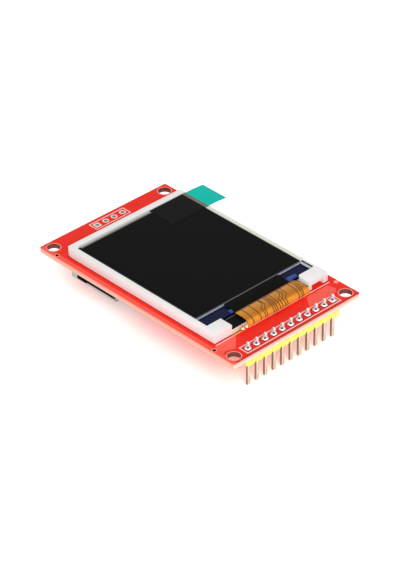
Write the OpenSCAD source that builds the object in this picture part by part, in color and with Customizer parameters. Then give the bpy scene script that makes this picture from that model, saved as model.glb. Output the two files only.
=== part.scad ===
// Small colour TFT display module: a backlit glass panel in a white moulded frame, taped to a
// red circuit board, with a pin header along one end and a memory card socket on the back.
// The origin is the centre of the mounting-hole pattern on the back face of the board.
// X runs along the pin row, Y along the long side away from the pins, Z out of the screen.

/* [Board] */
// Width of the board along the pin row
board_w = 38; // [37.5:0.1:42]
// Length of the board
board_l = 62; // [61.5:0.1:70]
// Thickness of the board
board_t = 1.2; // [0.8:0.1:1.6]
// Radius of the board's corners
board_corner_r = 0.4; // [0.2:0.1:1]
// Distance of a mounting hole from each of the two edges beside it
hole_inset = 2.25; // [1.9:0.05:2.4]
// Diameter of a mounting hole
hole_d = 3; // [2:0.1:3.2]
// Diameter of the four small tooling holes by the long edges
tooling_d = 0.8; // [0.4:0.1:0.9]
// Distance of a tooling hole from the long edge
tooling_inset = 0.68; // [0.6:0.02:0.8]
// Distance of the far tooling holes from the end of the board
tooling_far = 5.2; // [4.6:0.1:6]
// Distance of the near tooling holes from the end of the board
tooling_near = 6.6; // [4.6:0.1:7]

/* [Pin header] */
// Distance from pin to pin
pitch = 2.54; // [2.3:0.01:2.56]
// Side of a square pin
pin_w = 0.64; // [0.5:0.01:0.66]
// Length of a pin above the plastic
pin_tail = 2.8; // [2.6:0.1:3.4]
// Length of a pin below the plastic
pin_reach = 5.85; // [3:0.05:9]
// Length of the bevel at each end of a pin
pin_point = 0.25; // [0.1:0.05:0.5]
// Width of the header's plastic
header_w = 2.5; // [2:0.1:2.9]
// Height of the header's plastic
header_h = 2.5; // [1.5:0.1:3.5]
// Bevel between neighbouring cells of the plastic
header_notch = 0.42; // [0.1:0.02:0.6]
// Diameter of a plated hole for a pin
pin_hole_d = 1; // [0.96:0.01:1.1]
// Diameter of a solder pad
pad_d = 1.55; // [1.5:0.05:2]
// Thickness of a solder pad
pad_t = 0.04; // [0.02:0.01:0.1]
// Height of the solder cone round a pin
joint_h = 1; // [0.6:0.05:1.2]
// Radius of the solder cone at its top
joint_top_r = 0.5; // [0.48:0.01:0.6]

/* [Card header] */
// Number of holes in the row that brings out the card socket
card_hole_count = 4; // [2:1:6]
// Wall of the plating in these holes
plating_t = 0.05; // [0.03:0.01:0.1]

/* [Printed lines] */
// Width of a printed line
ink_w = 0.22; // [0.12:0.02:0.3]
// Thickness of the ink
ink_t = 0.03; // [0.02:0.01:0.06]

/* [Display frame] */
// Width of the white frame
frame_w = 34; // [33:0.1:34.5]
// Length of the white frame
frame_l = 46.9; // [45:0.1:47.5]
// Offset of the frame's centre along the pin row
frame_x = 0.15; // [-0.3:0.05:0.5]
// Offset of the frame's centre along the long side
frame_y = 0.5; // [0:0.05:1]
// Width of the rim along the two long sides
rim_side = 1.15; // [0.8:0.05:1.4]
// Width of the rim at the end away from the pins
rim_far = 1.9; // [1.2:0.05:2.2]
// Width of the shelf that carries the glass
shelf_w = 1; // [0.5:0.05:1.2]
// Bevel at the frame's far corners, along the rim
corner_long = 0.9; // [0.5:0.05:1.6]
// Bevel at the frame's far corners, across the rim
corner_short = 0.25; // [0.1:0.05:0.8]
// Depth of the two lugs beside the flex
lug_l = 3.5; // [3.2:0.05:4]
// Part of the two lugs' width that the left lug takes
lug_left_share = 0.47; // [0.42:0.01:0.52]
// Radius of the right lug's corner beside the flex
lug_corner_r = 0.7; // [0.3:0.05:1.2]
// Height of the low bar between the lugs
bar_h = 1.15; // [0.9:0.05:1.2]
// Thickness of the bar's outer wall
bar_wall = 0.7; // [0.5:0.05:0.9]
// Height of the notch under the right lug
notch_h = 1.1; // [0.6:0.05:1.5]
// Depth of the notch under the right lug
notch_depth = 1.6; // [0.8:0.05:2]
// Width of the right lug's foot beside the flex
notch_foot = 0.9; // [0.6:0.05:1.1]
// Width of the right lug's outer foot
outer_foot = 1.35; // [1:0.05:1.8]

/* [Display layers] */
// Thickness of the adhesive tape between board and backlight
tape_t = 0.15; // [0.14:0.01:0.4]
// Thickness of the reflector film
reflector_t = 0.1; // [0.05:0.01:0.2]
// Thickness of the light guide
guide_t = 0.7; // [0.6:0.05:1]
// Thickness of the diffuser film
diffuser_t = 0.1; // [0.05:0.01:0.2]
// Thickness of the prism film
prism_t = 0.15; // [0.05:0.01:0.2]
// Thickness of the black window tape on the shelf
window_tape_t = 0.05; // [0.03:0.01:0.1]
// Thickness of the rear polariser
rear_polariser_t = 0.15; // [0.1:0.01:0.25]
// Thickness of the transistor glass
tft_glass_t = 0.45; // [0.3:0.05:0.7]
// Thickness of the colour filter glass
filter_glass_t = 0.45; // [0.4:0.05:0.7]
// Thickness of the front polariser
front_polariser_t = 0.2; // [0.1:0.01:0.25]
// Thickness of the protective film
film_t = 0.06; // [0.04:0.01:0.1]
// Gap between the glass and the frame's pocket
glass_gap = 0.1; // [0.05:0.01:0.2]
// Gap between the glass and the lugs
lug_gap = 0.35; // [0.2:0.05:0.5]
// Length of the bare ledge on the transistor glass
ledge_l = 3.15; // [3.1:0.05:3.4]
// Distance from the filter glass's edge to the polariser's edge
polariser_inset = 0.8; // [0.5:0.05:1.2]
// Distance from the filter glass's edge to the polariser's edge at the ledge
polariser_near = 0.5; // [0.3:0.05:0.8]
// Distance from the glass's left edge to the protective film, which lies a little askew
film_left = 0.6; // [0.3:0.05:1]
// Reach of the protective film over the frame's right rim
film_right = 0.85; // [0.3:0.05:1]
// Distance from the filter glass's near edge to the protective film
film_near = 0.3; // [0.2:0.05:0.6]
// Reach of the protective film over the frame's far rim
film_far = 0.4; // [0.2:0.05:0.8]

/* [Pull tab] */
// Width of the pull tab and of its clear tape
tab_w = 7.75; // [5:0.05:9]
// Distance of the tab from the glass's far edge
tab_from_edge = 0.05; // [0:0.05:2]
// Length of the clear tape on the film
tab_tape_l = 11.1; // [6:0.1:14]
// Length of the coloured tab beyond the clear tape
tab_l = 5.5; // [3:0.1:8]
// Drop of the tab's free end
tab_droop = 0.3; // [0:0.05:0.6]
// Thickness of the tab and of its tape
tab_t = 0.06; // [0.04:0.01:0.1]

/* [Flex cable] */
// Width of the flex where it is bonded to the glass
flex_bond_w = 16.5; // [14:0.1:17]
// Width that the flex gains where it leaves the glass
shoulder_w = 0.8; // [0.4:0.05:1]
// Width that the flex gains from there to the fold's front
flare_w = 0.95; // [0.3:0.05:1]
// Distance of the flex's left edge from the left lug
flex_from_lug = 4.25; // [3:0.05:4.5]
// Distance of the flex's shoulder from the right lug
flex_to_lug = 0.6; // [0.4:0.05:1]
// Thickness of the flex
flex_t = 0.1; // [0.06:0.01:0.12]
// Length of the flex that is bonded to the ledge
bond_l = 1.4; // [1:0.05:1.5]
// Length of the straight run of the flex over the bar, from the bar's face
flex_run = 1.95; // [1.2:0.05:2.5]
// Reach of the fold past the bar's face
flex_bulge = 0.8; // [0.7:0.05:1.1]
// Radius of the tight turn at the bottom of the fold
fold_r = 0.65; // [0.5:0.05:0.75]
// Length of the flex's tail under the backlight, from the bar's face
tail_l = 10.5; // [5:0.5:14]
// Clearance between the tail and the board
tail_gap = 0.02; // [0.01:0.01:0.03]
// Number of solder bars that join the tail to the board
tail_bar_count = 14; // [8:1:18]
// Length of a solder bar
tail_bar_l = 0.7; // [0.5:0.05:0.9]
// Width of the ear that carries the backlight's two solder pads
ear_w = 2.45; // [2:0.05:2.6]
// Width of the flex's root beside the ear, close to the board
root_w = 2.05; // [1:0.05:2.1]
// Height of the root above the board
root_h = 0.4; // [0.3:0.05:0.6]
// Height of the ear above the board
ear_h = 1.3; // [1.1:0.05:1.6]
// Diameter of a solder blob on the ear
blob_d = 0.85; // [0.5:0.05:0.95]
// Height of a solder blob
blob_h = 0.2; // [0.1:0.05:0.3]

/* [Driver chip] */
// Length of the driver chip
chip_l = 15; // [10:0.1:15.8]
// Width of the driver chip
chip_w = 0.9; // [0.7:0.05:0.95]
// Thickness of the driver chip
chip_t = 0.35; // [0.25:0.05:0.45]
// Gap between the filter glass and the chip
chip_gap = 0.5; // [0.35:0.05:0.5]
// Thickness of the black tapes
black_tape_t = 0.06; // [0.04:0.01:0.1]
// Length of the black tape over the chip
chip_tape_l = 16.5; // [16:0.1:16.8]
// Length of the blue sealant bead on the right
sealant_right_l = 2.85; // [1.5:0.05:3.2]
// Length of the blue sealant bead on the left
sealant_left_l = 0.8; // [0.4:0.1:1.5]
// Width of a sealant bead
sealant_w = 1.35; // [0.5:0.05:1.4]
// Height of a sealant bead
sealant_h = 0.3; // [0.15:0.05:0.4]

/* [Backlight lamps] */
// Number of lamps
lamp_count = 3; // [1:1:4]
// Length of a lamp
lamp_l = 2.8; // [1.6:0.1:3]
// Depth of a lamp
lamp_w = 0.9; // [0.6:0.05:1]
// Height of a lamp
lamp_h = 0.6; // [0.4:0.05:0.65]
// Distance between the lamps
lamp_pitch = 6.5; // [5:0.1:7]
// Thickness of the lamp strip
strip_t = 0.1; // [0.06:0.01:0.15]

/* [Card socket] */
// Width of the socket along the board's long edge
socket_w = 14.5; // [13.5:0.1:16]
// Length of the socket across the board
socket_l = 15; // [13:0.1:16]
// Height of the socket
socket_h = 1.85; // [1.6:0.05:2.4]
// Distance of the socket's mouth from the long edge
socket_inset = 0.65; // [0.3:0.05:1.5]
// Distance of the socket's middle from the origin
socket_y = 13.75; // [12:0.05:16]
// Thickness of the steel shell
shell_t = 0.2; // [0.1:0.05:0.25]
// Thickness of the socket's plastic floor
socket_floor = 0.45; // [0.3:0.05:0.6]
// Width of a side rail of the plastic base
rail_w = 0.9; // [0.6:0.05:1.2]
// Width of the card that the socket takes
card_w = 11; // [10:0.1:11.2]
// Width of the ejector bay beside the card's way
ejector_w = 2.4; // [1.8:0.1:2.6]
// Height of the shell's front lip
lip_h = 0.5; // [0.3:0.05:0.7]
// Height of the shell's brow, above the mouth
brow_h = 0.35; // [0.2:0.05:0.45]
// Width of the open bay between the shell's wrap and its lip
bay_w = 3.2; // [2.6:0.1:4]
// Distance of the contacts' tips from the socket's rear
contact_reach = 7; // [6:0.5:9]
// Length of a contact's bowed spring
contact_bow = 2.3; // [1.5:0.1:3]
// Number of contacts
contact_count = 8; // [4:1:8]
// Distance from contact to contact
contact_pitch = 1.1; // [1:0.05:1.15]
// Width of a contact
contact_w = 0.45; // [0.3:0.05:0.6]
// Thickness of a contact
contact_t = 0.12; // [0.08:0.01:0.15]
// Length of a contact's tail behind the base
contact_tail = 0.9; // [0.5:0.1:1.5]

/* [Small components] */
// Length of a three-lead package
sot_l = 2.9; // [2.6:0.1:3.2]
// Width of a three-lead package
sot_w = 1.3; // [1.2:0.05:1.5]
// Height of a three-lead package
sot_h = 1.1; // [0.9:0.05:1.3]
// Distance between the leads of a three-lead package
sot_pitch = 0.95; // [0.9:0.01:1]
// Length of a chip resistor or capacitor
chip_part_l = 1.6; // [1:0.1:2.2]
// Width of a chip resistor or capacitor
chip_part_w = 0.8; // [0.5:0.05:1.2]
// Height of a chip resistor
resistor_h = 0.45; // [0.3:0.05:0.6]
// Height of a chip capacitor
capacitor_h = 0.8; // [0.5:0.05:1.2]

/* [Hidden] */
$fn = 48;
eps = 0.01;
// Each pin has its own node, so their number is fixed
pin_count = 11;
white = [0.94, 0.93, 0.92];
red = [0.93, 0.16, 0.13];
tin = [0.85, 0.85, 0.84];
gold = [0.83, 0.66, 0.38];
amber = [0.86, 0.58, 0.18];
black = [0.09, 0.09, 0.10];

// Distances between the mounting holes
hole_span_x = board_w - 2 * hole_inset;
hole_span_y = board_l - 2 * hole_inset;

// Heights above the board's back face, from the board upwards
deck = board_t;
frame_z = deck + tape_t;
guide_z = frame_z + reflector_t;
diffuser_z = guide_z + guide_t;
prism_z = diffuser_z + diffuser_t;
shelf_z = prism_z + prism_t;
rear_polariser_z = shelf_z + window_tape_t;
tft_z = rear_polariser_z + rear_polariser_t;
ledge_z = tft_z + tft_glass_t;
front_polariser_z = ledge_z + filter_glass_t;
top_z = front_polariser_z + front_polariser_t;
film_z = top_z;
tab_z = film_z + film_t;
bar_z = frame_z + bar_h;

// Sides of the frame, of its pocket and of the glass
frame_x0 = frame_x - frame_w / 2;
frame_x1 = frame_x + frame_w / 2;
frame_y0 = frame_y - frame_l / 2;
frame_y1 = frame_y + frame_l / 2;
pocket_x0 = frame_x0 + rim_side;
pocket_x1 = frame_x1 - rim_side;
pocket_y0 = frame_y0 + lug_l;
pocket_y1 = frame_y1 - rim_far;
glass_x0 = pocket_x0 + glass_gap;
glass_x1 = pocket_x1 - glass_gap;
glass_y0 = pocket_y0 + lug_gap;
glass_y1 = pocket_y1 - glass_gap;
filter_y0 = glass_y0 + ledge_l;
flex_w = flex_bond_w + shoulder_w + flare_w;
lug_gap_w = flex_from_lug + flex_w + flex_to_lug;
lugs_w = frame_w - lug_gap_w;
lug_x0 = frame_x0 + lug_left_share * lugs_w;
lug_x1 = lug_x0 + lug_gap_w;

// Sides of the light guide's well, which the films share
well_x0 = pocket_x0 + shelf_w;
well_x1 = pocket_x1 - shelf_w;
well_y0 = frame_y0 + bar_wall;
well_y1 = pocket_y1 - shelf_w;
film_gap = 0.1;
guide_x0 = well_x0 + film_gap;
guide_x1 = well_x1 - film_gap;
guide_y0 = pocket_y0 + film_gap;
guide_y1 = well_y1 - film_gap;

// Ends of the bay in the bar that holds the lamps, and the play round what lies in it
bay_end = 1.2;
bay_x0 = lug_x0 + bay_end;
bay_x1 = lug_x1 - bay_end;
bay_play = 0.3;

// Edges of the flex: the fold, the bond, the ear and the root
flex_x0 = lug_x0 + flex_from_lug;
flex_x1 = flex_x0 + flex_w;
bond_x1 = flex_x0 + flex_bond_w;
ear_x0 = flex_x0 - ear_w;
root_x0 = ear_x0 - root_w;
bond_y = glass_y0 + bond_l;
nose_y = frame_y0 - flex_bulge;
tail_z = deck + tail_gap + flex_t / 2;
flex_top_z = ledge_z + flex_t / 2;

// Centre line of the flex in Y and Z: along the ledge, round the fold and back under the frame
run_y = frame_y0 + flex_run;
fold_z = tail_z + fold_r;
flex_path = concat(
    [[bond_y, flex_top_z]],
    [for (k = [0 : 12])
        bezier([run_y, flex_top_z], [run_y + 0.7 * (nose_y - run_y), flex_top_z],
               [nose_y, fold_z + 0.53 * (flex_top_z - fold_z)], [nose_y, fold_z], k / 12)],
    [for (k = [1 : 8])
        let (a = 180 + 90 * k / 8) [nose_y + fold_r + fold_r * cos(a), fold_z + fold_r * sin(a)]],
    [[frame_y0 + tail_l, tail_z]]
);

// Edge of the chip nearest to the pins, and the corners of the pull tab
chip_y0 = filter_y0 - chip_gap - chip_w;
tab_x0 = frame_x1 - 0.25;
tab_y1 = glass_y1 - tab_from_edge;
tab_y0 = tab_y1 - tab_w;

// Rows of holes, and the sides of the socket
header_y = -hole_span_y / 2;
card_row_y = hole_span_y / 2;
socket_x0 = -board_w / 2 + socket_inset;
socket_x1 = socket_x0 + socket_l;
socket_y0 = socket_y - socket_w / 2;
socket_y1 = socket_y + socket_w / 2;
pins = [for (i = [0 : pin_count - 1]) (i - (pin_count - 1) / 2) * pitch];
card_holes = [for (i = [0 : card_hole_count - 1]) (i - (card_hole_count - 1) / 2) * pitch];

// Contacts of the card socket: their tips, and the middle of the card's way
contact_x0 = socket_x1 - contact_reach;
contact_mid = socket_y0 + shell_t + rail_w + card_w / 2;
contacts = [for (i = [0 : contact_count - 1]) contact_mid + (i - (contact_count - 1) / 2) * contact_pitch];

// Small parts on the back: centres in X and Y, and the reach of a package's leads
lead_reach = 0.65;
sot_stand = 0.1;
chip_end = 0.3;
regulator_place = [8, -7];
transistor_place = [-9, -15];
sot_places = [regulator_place, transistor_place];
capacitor_places = [[13, -7], [3, -7], [8, -3.5]];
resistor_places = [[1.5, 11], [1.5, 13.5], [1.5, 16], [-4, -15], [3.5, -15], [9, -15]];

// Point on a cubic curve from a to d, drawn towards b and c
function bezier(a, b, c, d, t) =
    a * pow(1 - t, 3) + b * 3 * t * pow(1 - t, 2) + c * 3 * t * t * (1 - t) + d * pow(t, 3);

// Unit normal of a path at point i
function path_normal(p, i) =
    let (d = p[min(i + 1, len(p) - 1)] - p[max(i - 1, 0)]) [-d[1], d[0]] / norm(d);

// Outline of a strip t thick along a centre line
function ribbon(p, t) = concat(
    [for (i = [0 : len(p) - 1]) p[i] + path_normal(p, i) * t / 2],
    [for (i = [len(p) - 1 : -1 : 0]) p[i] - path_normal(p, i) * t / 2]
);

// A box between two opposite corners
module span(low, high) {
    translate(low) cube(high - low);
}

// A flat sheet between two plan corners, from height z and t thick
module sheet(x0, y0, x1, y1, z, t) {
    span([x0, y0, z], [x1, y1, z + t]);
}

// A closed rectangle of printed line, centred on its line
module ink_box(x0, y0, x1, y1) {
    difference() {
        translate([x0 - ink_w / 2, y0 - ink_w / 2]) square([x1 - x0 + ink_w, y1 - y0 + ink_w]);
        translate([x0 + ink_w / 2, y0 + ink_w / 2]) square([x1 - x0 - ink_w, y1 - y0 - ink_w]);
    }
}

// The board's plan with its four rounded corners
module board_plan() {
    r = board_corner_r;
    union() {
        square([board_w - 2 * r, board_l], center = true);
        square([board_w, board_l - 2 * r], center = true);
        for (x = [-1, 1], y = [-1, 1])
            translate([x * (board_w / 2 - r), y * (board_l / 2 - r)]) circle(r);
    }
}

// Glass-fibre board under solder mask, drilled for the screws, the pins and the tooling
module pcb() {
    color(red)
        difference() {
            linear_extrude(board_t) board_plan();
            for (x = [-1, 1], y = [-1, 1])
                translate([x * hole_span_x / 2, y * hole_span_y / 2, -eps])
                    cylinder(d = hole_d, h = board_t + 2 * eps);
            for (x = pins)
                translate([x, header_y, -eps]) cylinder(d = pin_hole_d, h = board_t + 2 * eps);
            for (x = card_holes)
                translate([x, card_row_y, -eps]) cylinder(d = pin_hole_d, h = board_t + 2 * eps);
            for (x = [-1, 1], y = [board_l / 2 - tooling_far, tooling_near - board_l / 2])
                translate([x * (board_w / 2 - tooling_inset), y, -eps])
                    cylinder(d = tooling_d, h = board_t + 2 * eps);
        }
}

// A solder pad without its hole: round, or square to mark one end of a row
module pad(is_square) {
    if (is_square) translate([-pad_d / 2, -pad_d / 2, 0]) cube([pad_d, pad_d, pad_t]);
    else cylinder(d = pad_d, h = pad_t);
}

// Tinned rings on the face of the board, one round each pin and the last one square
module header_pads() {
    color(tin)
        for (i = [0 : pin_count - 1])
            translate([pins[i], header_y, deck])
                difference() {
                    pad(i == pin_count - 1);
                    translate([0, 0, -eps]) cylinder(d = pin_hole_d, h = pad_t + 2 * eps);
                }
}

// Plated-through eyelets of the open row, with a square pad at the first hole
module card_header_pads() {
    color(tin)
        for (i = [0 : card_hole_count - 1])
            translate([card_holes[i], card_row_y, 0])
                difference() {
                    union() {
                        for (z = [-pad_t, deck]) translate([0, 0, z]) pad(i == 0);
                        translate([0, 0, -pad_t]) cylinder(d = pin_hole_d, h = board_t + 2 * pad_t);
                    }
                    translate([0, 0, -pad_t - eps])
                        cylinder(d = pin_hole_d - 2 * plating_t, h = board_t + 2 * pad_t + 2 * eps);
                }
}

// White ink on the front: a box round each row of holes and a line along the frame's end
module print_front() {
    row_half = pin_count * pitch / 2;
    card_half = card_hole_count * pitch / 2;
    frame_line_gap = 0.5;
    line_y = frame_y0 - frame_line_gap;
    color(white)
        translate([0, 0, deck])
            linear_extrude(ink_t)
                union() {
                    ink_box(-row_half, header_y - pitch / 2, row_half, header_y + pitch / 2);
                    ink_box(-card_half, card_row_y - pitch / 2, card_half, card_row_y + pitch / 2);
                    translate([frame_x0, line_y - ink_w / 2]) square([frame_w, ink_w]);
                }
}

// White ink on the back: outlines round the socket, the header and the small parts
module print_back() {
    margin = 0.4;
    row_half = pin_count * pitch / 2 + margin;
    row_w = pitch / 2 + margin;
    color(white)
        translate([0, 0, -ink_t])
            linear_extrude(ink_t)
                union() {
                    ink_box(-row_half, header_y - row_w, row_half, header_y + row_w);
                    for (p = sot_places)
                        translate([p[0], p[1]])
                            ink_box(-sot_l / 2 - margin, -sot_w / 2 - lead_reach - margin,
                                    sot_l / 2 + margin, sot_w / 2 + lead_reach + margin);
                    for (p = concat(resistor_places, capacitor_places))
                        translate([p[0], p[1]])
                            ink_box(-chip_part_l / 2 - margin, -chip_part_w / 2 - margin,
                                    chip_part_l / 2 + margin, chip_part_w / 2 + margin);
                }
}

// One cell of the header's plastic in plan, with its four corners bevelled
module header_cell() {
    a = pitch / 2;
    b = header_w / 2;
    n = header_notch;
    polygon([[-a, -b + n], [-a + n, -b], [a - n, -b], [a, -b + n],
             [a, b - n], [a - n, b], [-a + n, b], [-a, b - n]]);
}

// Moulded strip under the board that holds the pins square and at their pitch
module header_body() {
    pin_clearance = 0.02;
    hole_w = pin_w + pin_clearance;
    color([0.95, 0.93, 0.25])
        translate([0, header_y, -header_h])
            linear_extrude(header_h)
                difference() {
                    union() for (x = pins) translate([x, 0]) header_cell();
                    for (x = pins) translate([x, 0]) square(hole_w, center = true);
                }
}

// Outline of a pin from the side, bevelled at both ends
module pin_side() {
    a = pin_w / 2;
    tip = a * 0.45;
    low = -header_h - pin_reach;
    polygon([[-tip, low], [tip, low], [a, low + pin_point], [a, pin_tail - pin_point],
             [tip, pin_tail], [-tip, pin_tail], [-a, pin_tail - pin_point], [-a, low + pin_point]]);
}

// One square brass pin, bevelled on all four sides at both ends
module header_pin(i) {
    color(gold)
        translate([pins[i - 1], header_y, 0])
            intersection() {
                rotate([90, 0, 0]) linear_extrude(pin_w, center = true) pin_side();
                rotate([90, 0, 90]) linear_extrude(pin_w, center = true) pin_side();
            }
}

// Hollow-sided solder cones that rise round the pins from their pads
module solder_joints() {
    r = pad_d / 2 - 0.03;
    profile = [for (k = [0 : 6])
        let (t = k / 6) [joint_top_r + (r - joint_top_r) * pow(1 - t, 2.2), t * joint_h]];
    color(tin)
        for (x = pins)
            translate([x, header_y, deck + pad_t])
                difference() {
                    rotate_extrude() polygon(concat([[0, 0]], profile, [[0, joint_h]]));
                    translate([0, 0, joint_h / 2]) cube([pin_w, pin_w, joint_h + 2 * eps], center = true);
                }
}

// Double-sided tape that fixes the backlight to the board
module mounting_tape() {
    tail_room = 1;
    color([0.85, 0.83, 0.75])
        sheet(guide_x0, frame_y0 + tail_l + tail_room, guide_x1, guide_y1, deck, tape_t);
}

// Plan of the frame: a rectangle with its far corners bevelled
module frame_plan() {
    polygon([[frame_x0, frame_y0], [frame_x1, frame_y0], [frame_x1, frame_y1 - corner_long],
             [frame_x1 - corner_short, frame_y1], [frame_x0 + corner_short, frame_y1],
             [frame_x0, frame_y1 - corner_long]]);
}

// Plan of the gap between the lugs, rounded at the right lug's inner corner
module lug_gap_plan() {
    r = lug_corner_r;
    union() {
        translate([lug_x0, frame_y0 - eps]) square([lug_x1 - lug_x0, lug_l + 2 * eps]);
        difference() {
            translate([lug_x1 - eps, pocket_y0 - r]) square([r + eps, r + eps]);
            translate([lug_x1 + r, pocket_y0 - r]) circle(r);
        }
    }
}

// White moulded frame: rim, shelf and well for the layers, two lugs and the bar between them
module lcd_frame() {
    notch_x0 = lug_x1 + notch_foot;
    notch_x1 = frame_x1 - outer_foot;
    color(white)
        difference() {
            translate([0, 0, frame_z]) linear_extrude(top_z - frame_z) frame_plan();
            span([pocket_x0, pocket_y0, shelf_z], [pocket_x1, pocket_y1, top_z + eps]);
            span([well_x0, pocket_y0 - eps, frame_z - eps], [well_x1, well_y1, shelf_z + eps]);
            translate([0, 0, bar_z]) linear_extrude(top_z - bar_z + eps) lug_gap_plan();
            span([bay_x0, well_y0, frame_z - eps], [bay_x1, pocket_y0, bar_z + eps]);
            span([notch_x0, frame_y0 - eps, frame_z - eps],
                 [notch_x1, frame_y0 + notch_depth, frame_z + notch_h]);
        }
}

// White film that closes the back of the well and throws the light forward
module reflector() {
    color([0.97, 0.97, 0.97])
        union() {
            sheet(guide_x0, guide_y0, guide_x1, guide_y1, frame_z, reflector_t);
            sheet(bay_x0 + film_gap, well_y0 + film_gap, bay_x1 - film_gap, guide_y0 + eps,
                  frame_z, reflector_t);
        }
}

// Clear acrylic plate that spreads the lamps' light
module light_guide() {
    color([0.88, 0.94, 0.95])
        sheet(guide_x0, guide_y0, guide_x1, guide_y1, guide_z, guide_t);
}

// Matt film over the light guide
module diffuser() {
    color([0.95, 0.95, 0.93])
        sheet(guide_x0, guide_y0, guide_x1, guide_y1, diffuser_z, diffuser_t);
}

// Ridged film that turns the light towards the viewer
module prism_film() {
    color([0.9, 0.92, 0.92])
        sheet(guide_x0, guide_y0, guide_x1, guide_y1, prism_z, prism_t);
}

// Black sticky border that seals the glass to the shelf
module window_tape() {
    inner_edge = 0.5;
    border = shelf_w + inner_edge;
    color(black)
        difference() {
            sheet(glass_x0, guide_y0 + film_gap, glass_x1, glass_y1, shelf_z, window_tape_t);
            sheet(pocket_x0 + border, pocket_y0 + border, pocket_x1 - border, pocket_y1 - border,
                  shelf_z - eps, window_tape_t + 2 * eps);
        }
}

// White lamps that shine into the edge of the light guide
module lamps() {
    window_l = 0.7 * lamp_l;
    window_h = 0.6 * lamp_h;
    window_depth = 0.1;
    color([0.95, 0.93, 0.75])
        for (i = [0 : lamp_count - 1])
            translate([(bay_x0 + bay_x1) / 2 + (i - (lamp_count - 1) / 2) * lamp_pitch,
                       guide_y0 - film_gap - lamp_w / 2, guide_z + lamp_h / 2])
                difference() {
                    cube([lamp_l, lamp_w, lamp_h], center = true);
                    translate([0, lamp_w / 2, 0])
                        cube([window_l, 2 * window_depth, window_h], center = true);
                }
}

// Thin circuit strip on top of the lamps
module lamp_strip() {
    color(amber)
        sheet(bay_x0 + bay_play, well_y0 + bay_play, bay_x1 - bay_play, guide_y0 - film_gap,
              guide_z + lamp_h, strip_t);
}

// Polarising film under the transistor glass
module rear_polariser() {
    inset = 0.4;
    color(black)
        sheet(glass_x0 + inset, glass_y0 + inset, glass_x1 - inset, glass_y1 - inset,
              rear_polariser_z, rear_polariser_t);
}

// Lower glass, whose bare ledge carries the driver chip and the flex
module tft_glass() {
    color([0.10, 0.13, 0.28])
        sheet(glass_x0, glass_y0, glass_x1, glass_y1, tft_z, tft_glass_t);
}

// Upper glass with the colour filters, shorter by the ledge
module filter_glass() {
    color([0.14, 0.15, 0.17])
        sheet(glass_x0, filter_y0, glass_x1, glass_y1, ledge_z, filter_glass_t);
}

// Black polarising film on the upper glass
module front_polariser() {
    color(black)
        sheet(glass_x0 + polariser_inset, filter_y0 + polariser_near,
              glass_x1 - polariser_inset, glass_y1 - polariser_near,
              front_polariser_z, front_polariser_t);
}

// Clear film that protects the screen until the module is built in; it rests on the rim too
module protective_film() {
    color([0.2, 0.21, 0.22])
        sheet(glass_x0 + film_left, filter_y0 + film_near, glass_x1 + film_right,
              glass_y1 + film_far, film_z, film_t);
}

// Clear tape that holds the pull tab to the film
module tab_tape() {
    color([0.25, 0.26, 0.27])
        sheet(tab_x0 - tab_tape_l, tab_y0, tab_x0, tab_y1, tab_z, tab_t);
}

// Coloured pull tab, which bends down a little past the frame
module pull_tab() {
    flat_l = 0.3;
    mid_z = tab_z + tab_t / 2;
    bend = [for (k = [0 : 6])
        let (s = k / 6) [tab_x0 + flat_l + (tab_l - flat_l) * s, mid_z - tab_droop * s * s]];
    path = concat([[tab_x0, mid_z]], bend);
    color([0.02, 0.77, 0.72])
        translate([0, tab_y1, 0])
            rotate([90, 0, 0]) linear_extrude(tab_w) polygon(ribbon(path, tab_t));
}

// Bare silicon chip on the ledge that drives the rows and columns
module driver_chip() {
    mid = flex_x0 + flex_bond_w / 2;
    color([0.25, 0.25, 0.27])
        sheet(mid - chip_l / 2, chip_y0, mid + chip_l / 2, chip_y0 + chip_w, ledge_z, chip_t);
}

// Black tape over the chip and the end of the flex
module chip_tape() {
    h = black_tape_t / 2;
    over_chip = ledge_z + chip_t + h;
    over_flex = ledge_z + flex_t + h;
    slack = 0.05;
    step_l = 0.25;
    past_glass = 0.3;
    path = [[chip_y0 + chip_w + chip_gap / 2, over_chip], [chip_y0 - slack, over_chip],
            [bond_y - step_l, over_flex], [glass_y0 - past_glass, over_flex]];
    color(black)
        translate([flex_x0, 0, 0])
            rotate([90, 0, 90]) linear_extrude(chip_tape_l) polygon(ribbon(path, black_tape_t));
}

// Black tape that closes the lamp bay on top of the bar
module bar_tape() {
    color(black)
        sheet(lug_x0 + eps, frame_y0 + eps, lug_x1 - eps, pocket_y0 - eps, bar_z, black_tape_t);
}

// One bead of sealant on the ledge: a low round ridge along X
module sealant_bead(x0, l) {
    r = (pow(sealant_w / 2, 2) + pow(sealant_h, 2)) / (2 * sealant_h);
    translate([x0, bond_y - bond_l / 2, ledge_z])
        rotate([90, 0, 90])
            linear_extrude(l)
                intersection() {
                    translate([0, sealant_h - r]) circle(r);
                    translate([-sealant_w, 0]) square([2 * sealant_w, sealant_h]);
                }
}

// Blue sealant that covers the bare glass leads beside the chip's tape
module edge_sealant() {
    color([0.10, 0.27, 0.62]) {
        sealant_bead(flex_x0 - sealant_left_l, sealant_left_l);
        sealant_bead(bond_x1, sealant_right_l);
    }
}

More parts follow.
